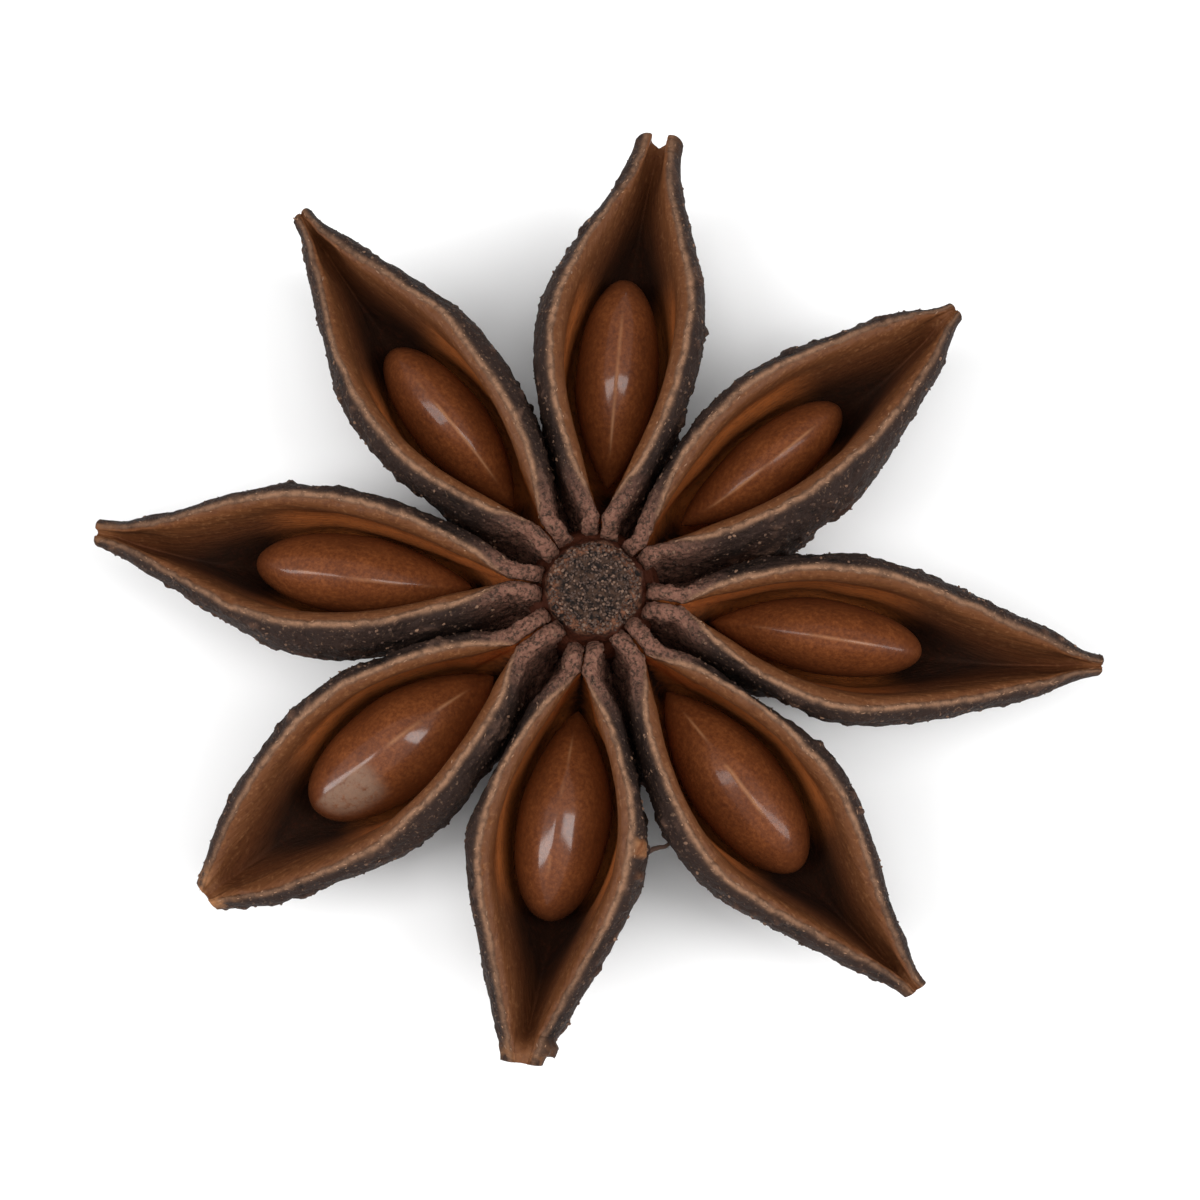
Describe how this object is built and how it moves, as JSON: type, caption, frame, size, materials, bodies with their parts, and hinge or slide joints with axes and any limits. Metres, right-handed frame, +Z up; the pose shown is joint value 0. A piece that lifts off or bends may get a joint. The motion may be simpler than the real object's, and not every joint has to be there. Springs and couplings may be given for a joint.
{
  "type": "star anise pod",
  "caption": "Dried star-shaped spice fruit: woody boat-shaped carpels round a short column, each split open over a glossy seed.",
  "frame": {"origin": "middle of the flat stalk scar under the column, on the plane that the pod rests on", "axes": "+Z up along the column, through the open face; +X to the right of the front carpel, +Y away from it"},
  "size_m": [0.0348, 0.0327, 0.0084],
  "materials": {
    "husk": "matte dried woody rind, grey-brown and wrinkled outside, smooth orange-brown inside",
    "seed": "smooth glossy chestnut seed coat with a pale seam"
  },
  "bodies": {
    "root": {"husk": "husk", "seed_right": "seed", "seed_back_right": "seed", "seed_back": "seed", "seed_back_left": "seed", "seed_left": "seed", "seed_front_left": "seed", "seed_front": "seed", "seed_front_right": "seed"}
  },
  "joints": []
}
